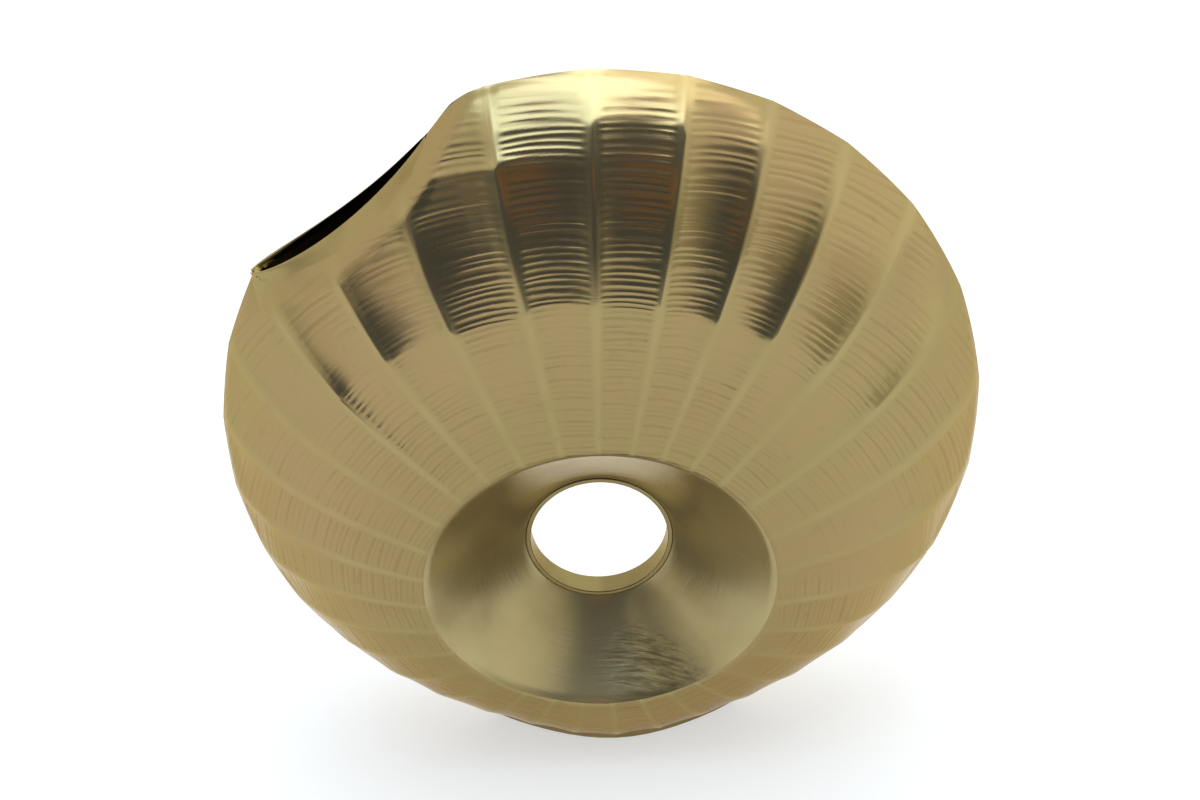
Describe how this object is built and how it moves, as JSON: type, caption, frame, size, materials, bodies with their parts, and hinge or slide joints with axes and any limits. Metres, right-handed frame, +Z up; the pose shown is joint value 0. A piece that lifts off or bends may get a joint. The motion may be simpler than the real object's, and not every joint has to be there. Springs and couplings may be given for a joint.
{
  "type": "vase",
  "caption": "Upright fluted disc vase in satin brass, with a smooth dish and through-hole low in its face and a narrow slit mouth cut into the rim at the upper left",
  "frame": {"origin": "centre of the underside of the bounding box, on the surface the vase stands on", "axes": "+Z up, -Y out of the front face that the mouth's left-hand side belongs to, X across the face; the hole runs along Y"},
  "size_m": [0.2951, 0.096, 0.297],
  "materials": {
    "body_brass": "satin, beaten flutes with fine tool lines across them",
    "dish_brass": "satin, turned",
    "sleeve_brass": "satin",
    "lip_brass": "satin, rubbed smooth",
    "sole_brass": "dull satin",
    "felt": "felt"
  },
  "bodies": {
    "root": {"front_shell": "body_brass", "back_shell": "body_brass", "front_dish": "dish_brass", "back_dish": "dish_brass", "bore_sleeve": "sleeve_brass", "front_lip": "lip_brass", "back_lip": "lip_brass", "sole_plate": "sole_brass", "felt_sole": "felt"}
  },
  "joints": []
}
